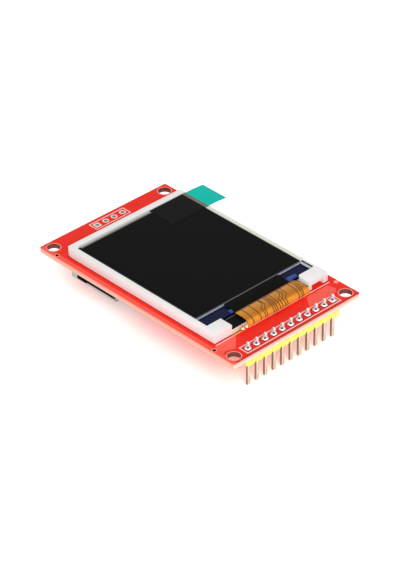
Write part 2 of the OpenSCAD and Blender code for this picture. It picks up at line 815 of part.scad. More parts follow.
// Folded flex: from the ledge over the bar, round and back under the frame to the board
module main_flex() {
    ear_depth = 0.4;
    flare_y = run_y - 0.3;
    beyond = 1;
    front_y = nose_y - beyond;
    back_y = bond_y + tail_l;
    behind_front = nose_y + fold_r + ear_depth;
    color(amber)
        difference() {
            translate([root_x0, 0, 0])
                rotate([90, 0, 90])
                    linear_extrude(flex_x1 - root_x0) polygon(ribbon(flex_path, flex_t));
            // Beside the ear only the front of the fold is left, and beside the root its foot
            span([root_x0 - eps, front_y, deck + ear_h], [flex_x0, back_y, top_z]);
            span([root_x0 - eps, behind_front, deck - eps], [flex_x0, back_y, top_z]);
            span([root_x0 - eps, front_y, deck + root_h], [ear_x0, back_y, top_z]);
            // The bonded end is narrower than the fold
            translate([0, 0, fold_z])
                linear_extrude(top_z - fold_z)
                    polygon([[bond_x1, bond_y + beyond], [bond_x1, glass_y0],
                             [bond_x1 + shoulder_w, glass_y0], [flex_x1 + eps, flare_y],
                             [flex_x1 + eps, bond_y + beyond]]);
        }
}

// Two solder blobs that join the backlight's leads to the ear
module ear_solder() {
    places = [ear_x0 + 0.27 * ear_w, ear_x0 + 0.73 * ear_w];
    blob_top_d = 0.6 * blob_d;
    dimple_d = 0.25 * blob_d;
    color(tin)
        for (x = places)
            translate([x, nose_y - flex_t / 2, fold_z])
                rotate([90, 0, 0])
                    difference() {
                        cylinder(d1 = blob_d, d2 = blob_top_d, h = blob_h);
                        translate([0, 0, blob_h / 2]) cylinder(d = dimple_d, h = blob_h);
                    }
}

// Solder bars that join the flex's fingers to the board
module tail_solder() {
    step = (flex_x1 - flex_x0) / tail_bar_count;
    color(tin)
        for (i = [0 : tail_bar_count - 1])
            translate([flex_x0 + step * (i + 0.25), frame_y0 + tail_l, deck])
                cube([step / 2, tail_bar_l, tail_gap + flex_t]);
}

// Black base of the card socket: floor, two rails and a rear wall slotted for the contacts
module socket_base() {
    x0 = socket_x0 + shell_t;
    y0 = socket_y0 + shell_t;
    y1 = socket_y1 - shell_t;
    depth = socket_h - shell_t;
    rear_wall = 0.8;
    rear_x0 = socket_x1 - rear_wall;
    ejector_x0 = x0 + 3;
    slot_play = 0.05;
    slot_w = contact_w + 2 * slot_play;
    slot_h = contact_t + slot_play;
    spring_room = 0.2;
    color(black)
        difference() {
            union() {
                span([x0, y0, -socket_floor], [socket_x1, y1, 0]);
                span([x0, y0, -depth], [socket_x1, y0 + rail_w, 0]);
                span([ejector_x0, y1 - ejector_w, -depth], [socket_x1, y1, 0]);
                span([rear_x0, y0, -depth], [socket_x1, y1, 0]);
            }
            // Slots in the rear wall, and pockets in the floor under the spring ends
            for (y = contacts) {
                span([rear_x0 - eps, y - slot_w / 2, -socket_floor - slot_h],
                     [socket_x1 + eps, y + slot_w / 2, -socket_floor]);
                span([contact_x0 - slot_w / 2, y - slot_w / 2, -socket_floor - eps],
                     [contact_x0 + contact_bow, y + slot_w / 2, spring_room - socket_floor]);
            }
        }
}

// Folded steel shell of the card socket with its lip, windows and solder feet
module socket_shell() {
    low = -socket_h;
    wrap_l = 1.8;
    wrap_gap = 0.05;
    lip_end = 0.4;
    lip_y0 = socket_y0 + lip_end;
    lip_y1 = socket_y1 - wrap_l - bay_w;
    foot_l = 1.2;
    foot_w = 0.8;
    foot_inset = 1.2;
    window_margin = 0.6;
    latch_slot_w = 0.35;
    latch_slots = [socket_y1 - 2.6, socket_y1 - 1.2];
    latch_x0 = socket_x0 + 4;
    latch_x1 = socket_x1 - 3;
    side_notch_h = 0.7;
    side_notch_end = 5;
    color([0.72, 0.73, 0.74])
        difference() {
            union() {
                span([socket_x0, socket_y0, low], [socket_x1, socket_y1, low + shell_t]);
                for (y = [socket_y0, socket_y1 - shell_t])
                    span([socket_x0, y, low], [socket_x1, y + shell_t, 0]);
                span([socket_x0, lip_y0, low], [socket_x0 + shell_t, lip_y1, low + lip_h]);
                span([socket_x0, socket_y0 + eps, -brow_h],
                     [socket_x0 + shell_t, socket_y1 - eps, -wrap_gap]);
                span([socket_x0, socket_y1 - wrap_l, low], [socket_x0 + shell_t, socket_y1, -wrap_gap]);
                for (x = [socket_x0 + foot_inset, socket_x1 - foot_inset - foot_l]) {
                    span([x, socket_y0 - foot_w, -shell_t], [x + foot_l, socket_y0 + eps, 0]);
                    span([x, socket_y1 - eps, -shell_t], [x + foot_l, socket_y1 + foot_w, 0]);
                }
            }
            // Window over the contacts, and the two cuts that free the card's latch spring
            span([contact_x0 - window_margin, contacts[0] - window_margin, low - eps],
                 [contact_x0 + 2 * window_margin, contacts[contact_count - 1] + window_margin,
                  low + shell_t + eps]);
            for (y = latch_slots)
                span([latch_x0, y, low - eps], [latch_x1, y + latch_slot_w, low + shell_t + eps]);
            // Notches in the side walls
            for (y = [socket_y0 - eps, socket_y1 - shell_t - eps])
                span([socket_x0 + side_notch_end, y, -side_notch_h],
                     [socket_x1 - side_notch_end, y + shell_t + 2 * eps, eps]);
        }
}

// Gilt spring contacts of the card socket, from the card's pads to the board
module socket_contacts() {
    z = -socket_floor - contact_t / 2;
    foot_z = -contact_t / 2;
    bow_h = 3.5 * contact_t;
    path = [[contact_x0, z - bow_h / 2], [contact_x0 + 0.2 * contact_bow, z - bow_h],
            [contact_x0 + 0.7 * contact_bow, z - 0.2 * bow_h], [contact_x0 + contact_bow, z],
            [socket_x1 + contact_t, z], [socket_x1 + 1.5 * contact_t, foot_z],
            [socket_x1 + contact_tail, foot_z]];
    color(gold)
        for (y = contacts)
            translate([0, y + contact_w / 2, 0])
                rotate([90, 0, 0]) linear_extrude(contact_w) polygon(ribbon(path, contact_t));
}

// Moulded body of a three-lead package, its sides drawn in to its top and bottom
module sot_body() {
    a = sot_w / 2;
    draft = 0.08;
    z0 = -sot_stand - sot_h;
    color([0.13, 0.13, 0.14])
        rotate([90, 0, 90])
            linear_extrude(sot_l, center = true)
                polygon([[-a + draft, z0], [a - draft, z0], [a, z0 + sot_h / 2],
                         [a - draft, -sot_stand], [-a + draft, -sot_stand], [-a, z0 + sot_h / 2]]);
}

// Three bent leads of a package, two on one side and one on the other
module sot_leads() {
    t = 0.12;
    lead_w = 0.4;
    knee = 0.2;
    a = sot_w / 2;
    z = -sot_stand - sot_h / 2;
    path = [[a, z], [a + knee, z], [a + 1.5 * knee, -t / 2], [a + lead_reach, -t / 2]];
    color(tin)
        for (lead = [[-sot_pitch, -1], [sot_pitch, -1], [0, 1]])
            translate([lead[0], 0, 0])
                rotate([0, 0, lead[1] > 0 ? 0 : 180])
                    rotate([90, 0, 90]) linear_extrude(lead_w, center = true) polygon(ribbon(path, t));
}

// Voltage regulator on the back of the board
module regulator() {
    translate([regulator_place[0], regulator_place[1], 0]) sot_body();
}

module regulator_leads() {
    translate([regulator_place[0], regulator_place[1], 0]) sot_leads();
}

// Transistor that switches the backlight
module transistor() {
    translate([transistor_place[0], transistor_place[1], 0]) sot_body();
}

module transistor_leads() {
    translate([transistor_place[0], transistor_place[1], 0]) sot_leads();
}

// Ceramic middle of a chip part, between its metal ends
module chip_part(place, h) {
    l = chip_part_l - 2 * chip_end;
    translate([place[0] - l / 2, place[1] - chip_part_w / 2, -h]) cube([l, chip_part_w, h]);
}

module capacitors() {
    color([0.72, 0.58, 0.42]) for (p = capacitor_places) chip_part(p, capacitor_h);
}

module resistors() {
    color([0.12, 0.12, 0.13]) for (p = resistor_places) chip_part(p, resistor_h);
}

// Tinned ends of the chip parts
module chip_terminals() {
    parts = concat([for (p = capacitor_places) [p, capacitor_h]],
                   [for (p = resistor_places) [p, resistor_h]]);
    wrap = 0.02;
    color(tin)
        for (part = parts, side = [0, 1])
            translate([part[0][0] - chip_part_l / 2 + side * (chip_part_l - chip_end),
                       part[0][1] - chip_part_w / 2 - wrap, -part[1] - wrap])
                cube([chip_end, chip_part_w + 2 * wrap, part[1] + wrap]);
}

pcb();
header_pads();
card_header_pads();
print_front();
print_back();
header_body();
header_pin(1);  // header_pin_1
header_pin(2);  // header_pin_2
header_pin(3);  // header_pin_3
header_pin(4);  // header_pin_4
header_pin(5);  // header_pin_5
header_pin(6);  // header_pin_6
header_pin(7);  // header_pin_7
header_pin(8);  // header_pin_8
header_pin(9);  // header_pin_9
header_pin(10);  // header_pin_10
header_pin(11);  // header_pin_11
solder_joints();
mounting_tape();
lcd_frame();
reflector();
light_guide();
diffuser();
prism_film();
window_tape();
lamps();
lamp_strip();
rear_polariser();
tft_glass();
filter_glass();
front_polariser();
protective_film();
tab_tape();
pull_tab();
driver_chip();
chip_tape();
bar_tape();
edge_sealant();
main_flex();
ear_solder();
tail_solder();
socket_base();
socket_shell();
socket_contacts();
regulator();
regulator_leads();
transistor();
transistor_leads();
capacitors();
resistors();
chip_terminals();
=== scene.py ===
"""Looks of a small TFT display module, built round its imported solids, which are in metres."""

import math
import random

import bmesh
import bpy
from mathutils import Matrix, Quaternion, Vector


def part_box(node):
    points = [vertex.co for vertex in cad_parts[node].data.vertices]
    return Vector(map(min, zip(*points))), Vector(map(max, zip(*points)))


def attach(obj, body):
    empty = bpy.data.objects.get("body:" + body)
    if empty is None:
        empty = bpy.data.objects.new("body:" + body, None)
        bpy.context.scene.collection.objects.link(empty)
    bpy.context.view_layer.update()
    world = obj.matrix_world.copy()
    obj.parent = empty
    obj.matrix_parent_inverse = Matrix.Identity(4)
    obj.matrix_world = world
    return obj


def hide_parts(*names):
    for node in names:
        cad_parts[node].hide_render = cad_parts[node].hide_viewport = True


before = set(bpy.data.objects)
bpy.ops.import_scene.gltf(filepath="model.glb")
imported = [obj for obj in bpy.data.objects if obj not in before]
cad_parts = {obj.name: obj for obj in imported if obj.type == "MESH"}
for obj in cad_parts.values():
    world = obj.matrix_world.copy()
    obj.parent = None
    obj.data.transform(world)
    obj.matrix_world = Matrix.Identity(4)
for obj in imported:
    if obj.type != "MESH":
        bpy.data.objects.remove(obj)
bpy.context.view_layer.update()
MM = 0.001


# Camera: a long lens 34 degrees above the table, which looks down over the near left corner,
# so that the row of pins runs away to the right.
camera_turn = math.radians(-43.105)
camera_rise = math.radians(34.299)
camera_roll = math.radians(-0.6546)
camera_aim = Vector((-3.719, -4.655, 1.2)) * MM
camera_reach = 590.6 * MM
look = Vector((-math.sin(camera_turn) * math.cos(camera_rise),
               math.cos(camera_turn) * math.cos(camera_rise), -math.sin(camera_rise)))
camera = bpy.data.objects.new("camera", bpy.data.cameras.new("camera"))
camera.data.lens = 171.85
camera.data.sensor_width = 36
camera.data.clip_start = 0.02
camera.location = camera_aim - look * camera_reach
camera.rotation_mode = "QUATERNION"
camera.rotation_quaternion = (look.to_track_quat("-Z", "Y")
                              @ Quaternion((0, 0, 1), camera_roll))
bpy.context.scene.collection.objects.link(camera)
bpy.context.scene.camera = camera
bpy.context.scene.view_settings.view_transform = "Standard"


# Studio: a white table with a sheet of white paper behind it, in soft light from all round
# and from one large lamp. The paper shows pure white and keeps a faint shadow.
def linear(colour):
    """The linear values that a shader takes for a colour written as six hex digits."""
    parts = [int(colour[k:k + 2], 16) / 255 for k in (0, 2, 4)]
    return (*[p / 12.92 if p <= 0.04045 else ((p + 0.055) / 1.055) ** 2.4 for p in parts], 1)


def put(tree, kind, inputs=None, **settings):
    """Adds one node with its settings; each input takes a value or another node's output."""
    made = tree.nodes.new("ShaderNode" + kind)
    for name, value in settings.items():
        setattr(made, name, value)
    for name, value in (inputs or {}).items():
        if isinstance(value, bpy.types.NodeSocket):
            tree.links.new(value, made.inputs[name])
        else:
            made.inputs[name].default_value = value
    return made


def seen_rays(tree):
    """One for what the camera sees directly, in a reflection or through glass."""
    rays = put(tree, "LightPath").outputs
    mirrored = put(tree, "Math", {0: rays["Is Glossy Ray"], 1: rays["Is Transmission Ray"]},
                   operation="MAXIMUM")
    return put(tree, "Math", {0: rays["Is Camera Ray"], 1: mirrored.outputs[0]},
               operation="MAXIMUM").outputs[0]


world = bpy.data.worlds.new("soft_light")
world.use_nodes = True
world.node_tree.nodes.clear()
light_all_round = 0.6
around = put(world.node_tree, "Background",
             {"Color": linear("FFFFFF"), "Strength": light_all_round})
paper_behind = put(world.node_tree, "Background", {"Color": linear("FFFFFF"), "Strength": 1.0})
chosen = put(world.node_tree, "MixShader", {0: seen_rays(world.node_tree),
                                            1: around.outputs[0], 2: paper_behind.outputs[0]})
put(world.node_tree, "OutputWorld", {"Surface": chosen.outputs[0]})
bpy.context.scene.world = world

lamp = bpy.data.lights.new("large_lamp", "AREA")
lamp.shape = "DISK"
lamp.size = 0.7
lamp.energy = 6.0
lamp_stand = bpy.data.objects.new("large_lamp", lamp)
lamp_stand.location = (-0.5, -0.66, 0.58)
lamp_stand.rotation_euler = (-lamp_stand.location).to_track_quat("-Z", "Y").to_euler()
bpy.context.scene.collection.objects.link(lamp_stand)

paper = bpy.data.materials.new("white_paper")
paper.use_nodes = True
paper.node_tree.nodes.clear()
paper_glow = 0.06
paper_white = (0.94, 0.94, 0.94, 1)
paper_gain = (1.62, 1.56, 1.5, 1)  # past white in the open, and warm where the module shades it
camera_sees = put(paper.node_tree, "LightPath").outputs["Is Camera Ray"]
lift = put(paper.node_tree, "Mix", {0: camera_sees, 6: paper_white, 7: paper_gain},
           data_type="RGBA")
sheet_lit = put(paper.node_tree, "BsdfDiffuse", {"Color": lift.outputs[2]})
glow = put(paper.node_tree, "Math", {0: seen_rays(paper.node_tree), 1: paper_glow},
           operation="MULTIPLY")
sheet_bright = put(paper.node_tree, "Emission", {"Color": linear("FFFFFF"),
                                                 "Strength": glow.outputs[0]})
sheet_seen = put(paper.node_tree, "AddShader", {0: sheet_lit.outputs[0],
                                                1: sheet_bright.outputs[0]})
see_through = put(paper.node_tree, "BsdfTransparent")
from_below = put(paper.node_tree, "NewGeometry").outputs["Backfacing"]
one_sided = put(paper.node_tree, "MixShader", {0: from_below, 1: sheet_seen.outputs[0],
                                               2: see_through.outputs[0]})
put(paper.node_tree, "OutputMaterial", {"Surface": one_sided.outputs[0]})

table_shape = bmesh.new()
bmesh.ops.create_grid(table_shape, x_segments=1, y_segments=1, size=2.0)
table_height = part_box("header_pin_1")[0].z
bmesh.ops.translate(table_shape, verts=table_shape.verts, vec=(0, 0, table_height))
table_mesh = bpy.data.meshes.new("table")
table_shape.to_mesh(table_mesh)
table_shape.free()
table_mesh.materials.append(paper)
table = bpy.data.objects.new("table", table_mesh)
bpy.context.scene.collection.objects.link(table)


# Circuit board: glass-fibre laminate 1.2 mm thick, routed to shape and drilled, with a glossy
# red solder mask screened on both faces. Its cut edges and hole walls show the bare laminate.
def start_finish(name, roughness, specular=0.5, metallic=0.0):
    """A new finish: the material, its tree, the place on the module in mm and its shader."""
    made = bpy.data.materials.new(name)
    made.use_nodes = True
    tree = made.node_tree
    tree.nodes.clear()
    metres = put(tree, "TexCoord").outputs["Object"]
    where = put(tree, "VectorMath", {0: metres, 1: (1 / MM,) * 3}, operation="MULTIPLY")
    surface = put(tree, "BsdfPrincipled", {"Roughness": roughness, "Metallic": metallic,
                                           "Specular IOR Level": specular})
    put(tree, "OutputMaterial", {"Surface": surface.outputs[0]})
    return made, tree, where.outputs[0], surface


def clouds(tree, where, size, detail=2.0):
    """A cloudy pattern of a size in millimetres, from about 0.3 to 0.7."""
    return put(tree, "TexNoise", {"Vector": where, "Scale": 1 / size, "Detail": detail}).outputs[0]


def between(tree, share, first, second):
    """A colour between two, which are hex digits or another node's output."""
    ends = [linear(c) if isinstance(c, str) else c for c in (first, second)]
    return put(tree, "Mix", {0: share, 6: ends[0], 7: ends[1]}, data_type="RGBA").outputs[2]


def ramp(tree, value, start, end, low=0.0, high=1.0):
    """A share that goes from low to high while a value goes from start to end."""
    return put(tree, "MapRange", {"Value": value, "From Min": start, "From Max": end,
                                  "To Min": low, "To Max": high}).outputs[0]


def give(tree, surface, colour=None, height=None, depth=0.0):
    """Gives a shader its colour, and a relief of a depth in millimetres."""
    if colour is not None:
        tree.links.new(colour, surface.inputs["Base Color"])
    if height is not None:
        relief = put(tree, "Bump", {"Height": height, "Distance": depth * MM, "Strength": 1.0})
        tree.links.new(relief.outputs[0], surface.inputs["Normal"])


def welded(node):
    """A copy of a solid with its triangles joined into whole faces."""
    shape = bmesh.new()
    shape.from_mesh(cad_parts[node].data)
    bmesh.ops.remove_doubles(shape, verts=shape.verts, dist=1e-7)
    bmesh.ops.dissolve_limit(shape, angle_limit=math.radians(0.5), verts=shape.verts,
                             edges=shape.edges)
    for face in shape.faces:
        face.material_index = 0
    return shape


def ease(shape, width, steps=2, sharp=30):
    """Rounds the sharp edges of a shape by a width in millimetres."""
    edges = [e for e in shape.edges if e.is_manifold
             and e.calc_face_angle() > math.radians(sharp)]
    bmesh.ops.bevel(shape, geom=edges, offset=width * MM, offset_type="OFFSET", segments=steps,
                    profile=0.5, affect="EDGES", clamp_overlap=True, material=-1)


def place(shape, name, finishes, stands_for=(), smooth=35):
    """Makes a shape a piece of the module, in its finishes and for the solids it replaces."""
    mesh = bpy.data.meshes.new(name)
    shape.to_mesh(mesh)
    shape.free()
    for finish in finishes if isinstance(finishes, (list, tuple)) else [finishes]:
        mesh.materials.append(finish)
    mesh.shade_smooth()
    mesh.set_sharp_from_angle(angle=math.radians(smooth))
    made = bpy.data.objects.new(name, mesh)
    bpy.context.scene.collection.objects.link(made)
    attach(made, "root")
    if stands_for:
        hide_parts(*stands_for)


def coat(finish, *nodes):
    """Gives solids that stay in view their finish."""
    for node in nodes:
        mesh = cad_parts[node].data
        mesh.materials.clear()
        mesh.materials.append(finish)


ripple = math.pi / 10  # a wave pattern of scale 1 repeats in this length
board_low, board_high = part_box("pcb")
deck = board_high.z
deck_mm = deck / MM
left_x, near_y = board_low.x / MM, board_low.y / MM

# Solder mask is a screened, cured epoxy: even, glossy and a little wavy over the glass cloth.
# A painted highlight makes it paler along the left edge, and it is darker in a narrow band along
# the near edge.
solder_mask, tree, where, surface = start_finish("screened_solder_mask", 0.35, specular=0.1)
weave_pitch = 0.5
weave = put(tree, "TexWave", {"Vector": where, "Scale": ripple / weave_pitch, "Distortion": 0.6},
            bands_direction="DIAGONAL")
axes = put(tree, "SeparateXYZ", {0: where}).outputs
mask_red_with_painted_light = between(tree, clouds(tree, where, 5.0), "F01E12", "FA3222")
mask_red_with_painted_light = between(tree, ramp(tree, axes["Y"], near_y + 0.7, near_y + 0.5), mask_red_with_painted_light, "C8342A")
# Painted highlight: the mask is paler along the left edge.
mask_red_with_painted_light = between(tree, ramp(tree, axes["X"], left_x + 1.25, left_x + 1.05), mask_red_with_painted_light, "FA5C4E")
give(tree, surface, mask_red_with_painted_light, weave.outputs[1], 0.0015)

# The mask looks paler where the copper under it has been etched away.
pale_mask, tree, where, surface = start_finish("solder_mask_on_laminate", 0.36, specular=0.12)
give(tree, surface, between(tree, clouds(tree, where, 1.2), "FF5648", "FF6A5C"))

# Routed laminate is layered glass cloth in resin: matt, cream, with fine lines along the edge.
# Painted red light from the mask and the table makes it pinker near the mask and on the left wall,
# and a painted contact shadow makes its foot grey.
cut_laminate, tree, where, surface = start_finish("routed_glass_fibre", 0.7, specular=0.2)
ply = 0.17
plies = put(tree, "TexWave", {"Vector": where, "Scale": ripple / ply, "Distortion": 1.2,
                              "Detail Scale": 3.0}, bands_direction="Z")
axes = put(tree, "SeparateXYZ", {0: where}).outputs
laminate_grain_and_painted_light = between(tree, clouds(tree, where, 0.9, 4.0), "FFE2CE", "FFF0DC")
# Painted light: red from the mask makes the upper edge and the left wall pinker.
laminate_grain_and_painted_light = between(tree, ramp(tree, axes["Z"], 0.35, 1.1), laminate_grain_and_painted_light, "FFAA98")
left_wall_red_light = ramp(tree, axes["X"], left_x + 0.15, left_x + 0.05, 0.0, 0.6)
laminate_grain_and_painted_light = between(tree, left_wall_red_light, laminate_grain_and_painted_light, "FFA08C")
# Painted shadow: the foot of the edge is greyer.
laminate_grain_and_painted_light = between(tree, ramp(tree, axes["Z"], 0.12, 0.02), laminate_grain_and_painted_light, "C4B8A0")
give(tree, surface, laminate_grain_and_painted_light, plies.outputs[1], 0.004)

screw_inset, tooling_inset = 2.25, 0.68  # from the board's sides to the holes' centres
tooling_near, tooling_far = 6.6, 5.2  # from the board's ends
screw_x, screw_y = board_high.x / MM - screw_inset, board_high.y / MM - screw_inset
tooling_x = board_high.x / MM - tooling_inset
tooling_holes = [(side * tooling_x, y) for side in (-1, 1)
                 for y in (near_y + tooling_near, board_high.y / MM - tooling_far)]

board = welded("pcb")
ease(board, 0.05, steps=1, sharp=60)
screw_reach, tooling_reach = 2.0, 0.5  # from a hole's centre to just past its wall
routed, drilled, shaded_tooling = 1, 2, 3  # places in the board's list of finishes
for face in board.faces:
    if abs(face.normal.z) > 0.5:
        continue
    spot = face.calc_center_median() / MM
    face.material_index = routed
    if math.hypot(abs(spot.x) - screw_x, abs(spot.y) - screw_y) < screw_reach:
        face.material_index = drilled
    elif any(math.hypot(spot.x - x, spot.y - y) < tooling_reach for x, y in tooling_holes):
        # The left tooling holes get painted shade; the right ones keep the cut edge's cream.
        face.material_index = shaded_tooling if spot.x < 0 else routed

# Drill walls are burred; painted shade colours them dark reddish brown, darker the narrower the
# hole, and near black in the left tooling holes.
drill_wall_shade, tree, where, surface = start_finish("drill_wall_painted_shade", 0.55, specular=0.3)
grooves = put(tree, "TexWave", {"Vector": where, "Scale": ripple / 0.12, "Distortion": 2.0},
              bands_direction="Z")
give(tree, surface, between(tree, clouds(tree, where, 0.8), "561A1A", "A0584A"),
     grooves.outputs[1], 0.006)
tooling_wall_shade, tree, where, surface = start_finish("tooling_wall_painted_shade", 0.8, specular=0.1)
give(tree, surface, between(tree, clouds(tree, where, 0.3), "140806", "30140E"))
place(board, "circuit_board",
      [solder_mask, cut_laminate, drill_wall_shade, tooling_wall_shade], ["pcb"])


# Bare laminate: the copper foil under the mask is etched away in two places beside the
# display and round each hole. The mask is paler there, or stops short of the hole.
def plate(shape, corners, low, high):
    """Adds a flat plate with these plan corners, between two heights, all in millimetres."""
    verts = [shape.verts.new(Vector((x, y, low)) * MM) for x, y in corners]
    base = shape.faces.new(verts)
    rise = bmesh.ops.extrude_face_region(shape, geom=[base])
    moved = [v for v in rise["geom"] if isinstance(v, bmesh.types.BMVert)]
    bmesh.ops.translate(shape, verts=moved, vec=(0, 0, (high - low) * MM))
    return shape


def box_corners(x0, y0, x1, y1):
    """The four corners of a rectangle, in order."""
    return [(x0, y0), (x1, y0), (x1, y1), (x0, y1)]


def settle(shape):
    """Joins doubled corners and turns the faces outwards."""
    bmesh.ops.remove_doubles(shape, verts=shape.verts, dist=1e-7)
    bmesh.ops.recalc_face_normals(shape, faces=shape.faces)


sunk, patch_top = deck_mm - 0.01, deck_mm + 0.01  # thin plates start a little way in the board
patches = bmesh.new()
# Plan outlines, in millimetres from the middle of the board
left_patch = [(-17.8, -23.6), (-17.8, -26.6), (-16.9, -26.2), (-14.6, -27.0), (-11.3, -23.7),
              (-11.3, -23.6)]
right_patch = [(9.6, -24.0), (15.9, -24.0), (16.5, -26.2), (15.2, -27.2), (7.2, -27.2)]
for corners in (left_patch, right_patch):
    plate(patches, corners, sunk, patch_top)
settle(patches)
place(patches, "bare_patches", pale_mask)


def ring(shape, x, y, inner, outer, low, high, sides=24):
    """Adds a flat washer about a point, all sizes in millimetres."""
    turns = [(math.cos(math.tau * k / sides), math.sin(math.tau * k / sides))
             for k in range(sides)]
    loops = [[shape.verts.new(Vector((x + radius * c, y + radius * s, level)) * MM)
              for c, s in turns]
             for radius, level in ((inner, low), (outer, low), (outer, high), (inner, high))]
    for first, second in zip(loops, loops[1:] + loops[:1]):
        for k in range(sides):
            n = (k + 1) % sides
            shape.faces.new((first[k], first[n], second[n], second[k]))
    bmesh.ops.recalc_face_normals(shape, faces=shape.faces)


# The mask stops just short of every drilled hole and leaves a narrow ring of bare laminate.
hole_rings = bmesh.new()
ring_top = deck_mm + 0.008
tooling_ring, screw_ring = (0.41, 0.58), (1.51, 1.7)  # inner and outer radius
for x, y in tooling_holes:
    ring(hole_rings, x, y, *tooling_ring, sunk, ring_top)
for side in (-1, 1):
    for end in (-1, 1):
        ring(hole_rings, side * screw_x, end * screw_y, *screw_ring, sunk, ring_top, 48)
stained_laminate, tree, where, surface = start_finish("laminate_ring", 0.5, specular=0.2)
give(tree, surface, between(tree, clouds(tree, where, 0.8), "FF9482", "FFB8A4"))
place(hole_rings, "hole_rings", stained_laminate)


# Pads and ink: the copper pads are left clear of mask and tinned, and the lines are white
# epoxy ink, screened on last and slightly raised.
tinned, tree, where, surface = start_finish("tinned_copper", 0.28, metallic=1.0)
give(tree, surface, between(tree, clouds(tree, where, 0.25), "C9C6C0", "F2F0EC"),
     clouds(tree, where, 0.12), 0.004)
coat(tinned, "header_pads", "card_header_pads", "chip_terminals", "regulator_leads",
     "transistor_leads")

# Screened ink is matt, thick and a little uneven at its edges.
white_ink, tree, where, surface = start_finish("screened_white_ink", 0.65, specular=0.3)
give(tree, surface, between(tree, clouds(tree, where, 0.3), "F8D8D0", "FFE6E0"),
     clouds(tree, where, 0.15), 0.006)
coat(white_ink, "print_front", "print_back")


# Header: a moulded nylon strip with eleven cells, pushed on the square pins, and the pins'
# short ends soldered to their pads on the front of the board.
def moulded(name, dark, light, roughness, grain, depth, specular=0.45):
    """A moulded plastic: an even colour with the faint texture of the mould."""
    made, tree, where, surface = start_finish(name, roughness, specular)
    give(tree, surface, between(tree, clouds(tree, where, 8 * grain), dark, light),
         clouds(tree, where, grain, 3.0), depth)
    return made


# Nylon 6 is waxy and a little translucent, so its shaded sides stay bright.
yellow_nylon = moulded("moulded_yellow_nylon", "FFFF5C", "FFFF88", 0.45, 0.25, 0.004, 0.2)
header = welded("header_body")
ease(header, 0.09, steps=2, sharp=30)
place(header, "header_strip", yellow_nylon, ["header_body"])

# Pins are stamped from brass strip with a thin gold flash, with fine lines along the pin. The
# faces towards ±X get a duller, browner copy of the gilt: painted shade that stands in for the
# shaded table they mirror.
def stamped(name, dark, light, roughness):
    """One kind of face of a stamped and gold-flashed brass part."""
    made, tree, where, surface = start_finish(name, roughness, metallic=1.0)
    drawn = put(tree, "Mapping", {"Vector": where, "Scale": (14.0, 14.0, 0.8)})
    give(tree, surface, between(tree, clouds(tree, drawn.outputs[0], 1.0), dark, light),
         clouds(tree, drawn.outputs[0], 0.6), 0.003)
    return made


rolled_gilt = stamped("rolled_gilt_brass", "FFF3DE", "FFFBF0", 0.2)
gilt_painted_shade = stamped("gilt_brass_painted_shade", "A87A68", "D8AE98", 0.3)

# Hand-made solder joints: bright hollow cones that run up the pins, each a little different.
solder, tree, where, surface = start_finish("frosted_solder", 0.4, metallic=0.6)
give(tree, surface, between(tree, clouds(tree, where, 0.5), "E6E4E2", "FFFFFF"),
     clouds(tree, where, 0.35), 0.01)
# A greyer copy of the solder is painted shade, for the pins' sides towards ±X above the joints.
solder_painted_shade = moulded("grey_solder_painted_shade", "A49EA2", "C4BEC2", 0.5, 0.2, 0.004, 0.3)
pads_low, pads_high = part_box("header_pads")
row_y = (pads_low.y + pads_high.y) / 2
pad_radius = (pads_high.y - pads_low.y) / 2
wetted = pads_high.z + 0.5 * MM  # solder has run up the pins from here
pin_nodes = [f"header_pin_{number}" for number in range(1, 12)]
pin_boxes = [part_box(node) for node in pin_nodes]
for number, node in enumerate(pin_nodes, 1):
    pin = welded(node)
    ease(pin, 0.05, steps=2, sharp=50)
    bmesh.ops.bisect_plane(pin, geom=pin.verts[:] + pin.edges[:] + pin.faces[:],
                           plane_co=(0, 0, wetted), plane_no=(0, 0, 1), dist=1e-8)
    # Faces towards ±X take the painted-shade copies: gilt below the solder line, grey solder above
    # it.
    for face in pin.faces:
        shaded_side = abs(face.normal.x) > max(abs(face.normal.y), abs(face.normal.z))
        face.material_index = shaded_side + 2 * (face.calc_center_median().z > wetted)
    place(pin, f"pin_{number}",
          [rolled_gilt, gilt_painted_shade, solder, solder_painted_shade], [node])
chance = random.Random(11)
joints = bmesh.new()
neck_r, foot_r, hollow = 0.36 * MM, 0.94 * pad_radius, 2.1
levels = 8
for low, high in pin_boxes:
    centre = Vector(((low.x + high.x) / 2, row_y, pads_high.z))
    height = (1.0 + chance.uniform(-0.12, 0.05)) * MM
    chance.random()  # one spare draw for each joint
    side = []
    for k in range(levels + 1):
        up = k / levels
        radius = neck_r + (foot_r - neck_r) * (1 - up) ** hollow
        side.append(joints.verts.new(centre + Vector((radius, 0, up * height))))
    edges = [joints.edges.new(pair) for pair in zip(side, side[1:])]
    bmesh.ops.spin(joints, geom=side + edges, cent=centre, axis=(0, 0, 1),
                   angle=math.tau, steps=20, use_merge=True)
bmesh.ops.remove_doubles(joints, verts=joints.verts, dist=1e-7)
bmesh.ops.holes_fill(joints, edges=[e for e in joints.edges if e.is_boundary], sides=30)
bmesh.ops.recalc_face_normals(joints, faces=joints.faces)
place(joints, "solder_cones", solder, ["solder_joints"], smooth=50)

# A dark glassy spot on the front of each joint, at the foot of the pin, is a painted reflection of
# dark surroundings.
dark_reflection = moulded("dark_spot_painted_reflection", "241C1E", "4A3C3C", 0.15, 0.1, 0.01, 0.5)
reflection_spots = bmesh.new()
drop_r, drop_rise = 0.27 * MM, 0.45 * MM
for low, high in pin_boxes:
    foot = Vector((low.x + chance.uniform(-0.04, 0.04) * MM, low.y, deck + drop_rise))
    bmesh.ops.create_uvsphere(reflection_spots, u_segments=12, v_segments=8, radius=drop_r,
                              matrix=Matrix.Translation(foot))
place(reflection_spots, "painted_reflection_spots", dark_reflection)

